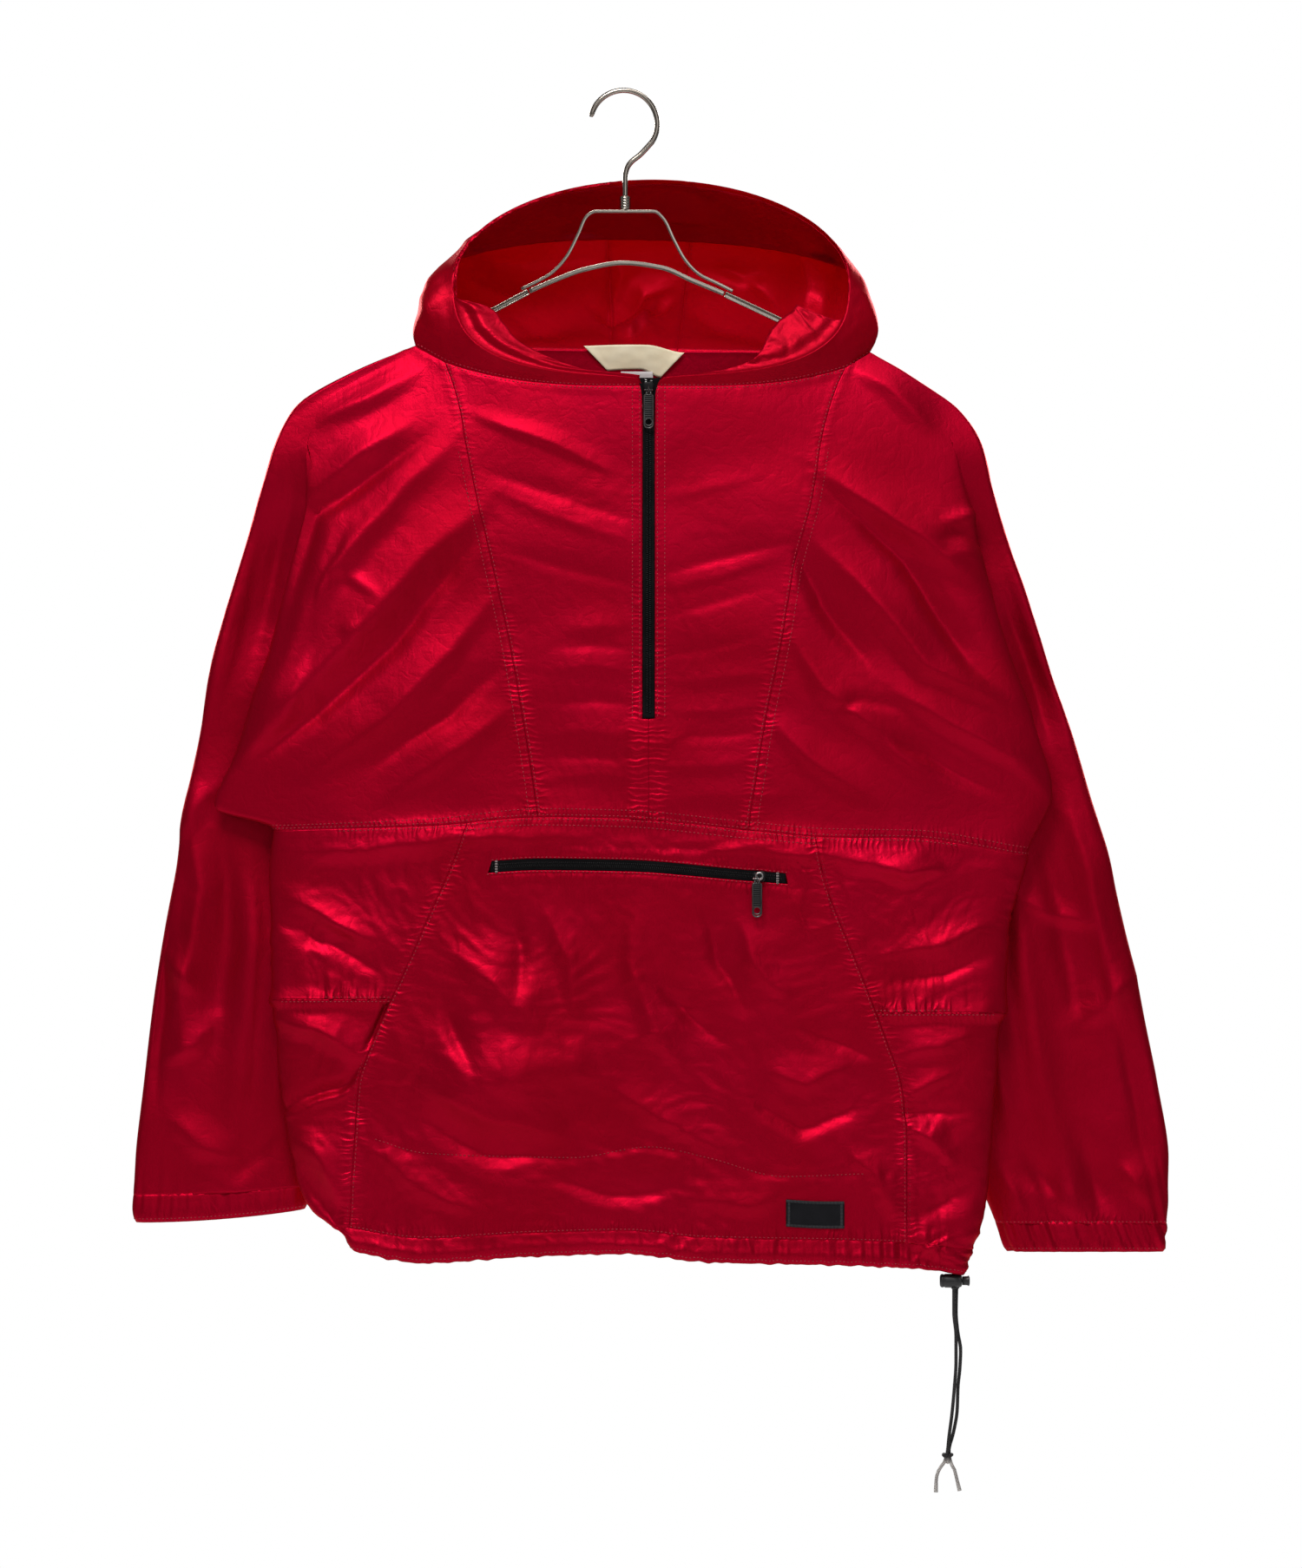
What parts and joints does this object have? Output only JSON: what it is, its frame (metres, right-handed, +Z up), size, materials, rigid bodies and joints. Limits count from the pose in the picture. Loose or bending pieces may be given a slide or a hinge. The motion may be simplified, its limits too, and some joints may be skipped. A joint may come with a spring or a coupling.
{
  "type": "anorak pullover on a hanger",
  "caption": "Hooded half-zip anorak pullover of shiny woven nylon with a zipped pouch, dolman sleeves and a drawcord hem, hung on a metal hanger.",
  "frame": {"origin": "the inner top of the hanger's hook, where it rests on a rail", "axes": "+Z up along the hook's stem, -Y towards the garment's front, +X towards the wearer's left"},
  "size_m": [0.7792, 0.1513, 1.0532],
  "materials": {
    "shell": "shiny crinkled woven nylon",
    "facing": "second layer of the same woven nylon",
    "zip_tape": "woven tape",
    "zip_coil": "moulded coil",
    "slider": "black enamel on zinc",
    "bail": "plated wire",
    "pull_tab": "black enamel on zinc, ribbed",
    "neck_label": "cream woven satin, bare",
    "care_label": "pale printed-label cloth, bare",
    "hem_patch": "black woven patch, bare",
    "lock": "moulded",
    "cord": "black braided cord",
    "cord_tip": "frayed grey cord end",
    "hanger_metal": "warm satin steel"
  },
  "bodies": {
    "garment": {"front_centre_right": "shell", "front_centre_left": "shell", "sleeve_right": "shell", "sleeve_left": "shell", "back_upper": "shell", "pouch_panel": "shell", "side_upper_right": "shell", "side_upper_left": "shell", "side_lower_right": "shell", "side_lower_left": "shell", "back_lower": "shell", "hem_casing": "shell", "cuff_right": "shell", "cuff_left": "shell", "hood_side_right": "shell", "hood_side_left": "shell", "hood_centre": "shell", "hood_facing": "facing", "front_zip_tape": "zip_tape", "pocket_zip_tape": "zip_tape", "front_zip_coil": "zip_coil", "pocket_zip_coil": "zip_coil", "front_zip_slider": "slider", "pocket_zip_slider": "slider", "front_zip_bail": "bail", "pocket_zip_bail": "bail", "neck_label": "neck_label", "care_label": "care_label", "hem_patch": "hem_patch", "cord_lock_barrel": "lock", "cord_lock_plunger": "lock", "cord_strand_a": "cord", "cord_strand_b": "cord", "cord_knot": "cord", "cord_end_a": "cord_tip", "cord_end_b": "cord_tip", "hanger_hook": "hanger_metal", "hanger_ferrule": "hanger_metal", "hanger_yoke": "hanger_metal", "hanger_arch": "hanger_metal", "hanger_arm_right": "hanger_metal", "hanger_arm_left": "hanger_metal"},
    "front_zip_pull": {"front_zip_tab": "pull_tab"},
    "pocket_zip_pull": {"pocket_zip_tab": "pull_tab"}
  },
  "joints": [
    {"name": "front_zip_pull_hinge", "type": "hinge", "parent": "garment", "child": "front_zip_pull", "pos_m": [0.019, -0.04054, -0.2255], "axis": [-1, 0, 0], "range_deg": [0, 160]},
    {"name": "pocket_zip_pull_hinge", "type": "hinge", "parent": "garment", "child": "pocket_zip_pull", "pos_m": [0.0998, -0.04728, -0.58975], "axis": [-1, 0, 0], "range_deg": [0, 160]}
  ]
}
